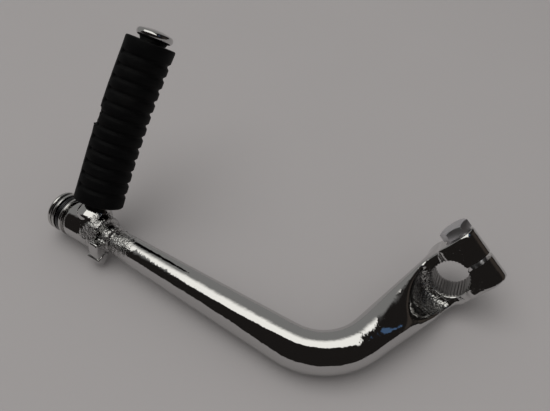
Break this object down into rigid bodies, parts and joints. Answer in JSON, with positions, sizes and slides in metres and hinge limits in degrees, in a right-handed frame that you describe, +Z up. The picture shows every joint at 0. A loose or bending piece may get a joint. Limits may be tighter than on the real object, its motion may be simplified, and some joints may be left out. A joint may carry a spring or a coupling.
{
  "type": "kick start lever",
  "caption": "Bent chrome kick start lever with a serrated split clamp boss, a pinch bolt and a folding pedal in a ribbed rubber sleeve held by spring washers.",
  "frame": {"origin": "centre of the serrated bore in the clamp boss", "axes": "lying on a bench as pictured: +X along the bench from the pedal to the boss, +Y away from the viewer, +Z up"},
  "size_m": [0.2145, 0.1374, 0.0947],
  "materials": {
    "chrome": "polished plating",
    "rubber": "matt moulded",
    "bolt_steel": "plated",
    "spring_steel": "dark oiled"
  },
  "bodies": {
    "lever": {"arm": "chrome", "pinch_bolt": "bolt_steel", "inner_washer": "chrome", "inner_disc_spring": "spring_steel", "outer_disc_spring": "spring_steel", "outer_washer": "chrome", "shim": "spring_steel", "end_washer": "chrome", "circlip": "spring_steel"},
    "folding_pedal": {"pedal": "chrome", "pedal_rubber": "rubber"}
  },
  "joints": [
    {"name": "pedal_fold", "type": "hinge", "parent": "lever", "child": "folding_pedal", "pos_m": [-0.171, 0.03168, -0.00349], "axis": [0.824, -0.5663, -0.0154], "range_deg": [0, 100]}
  ]
}
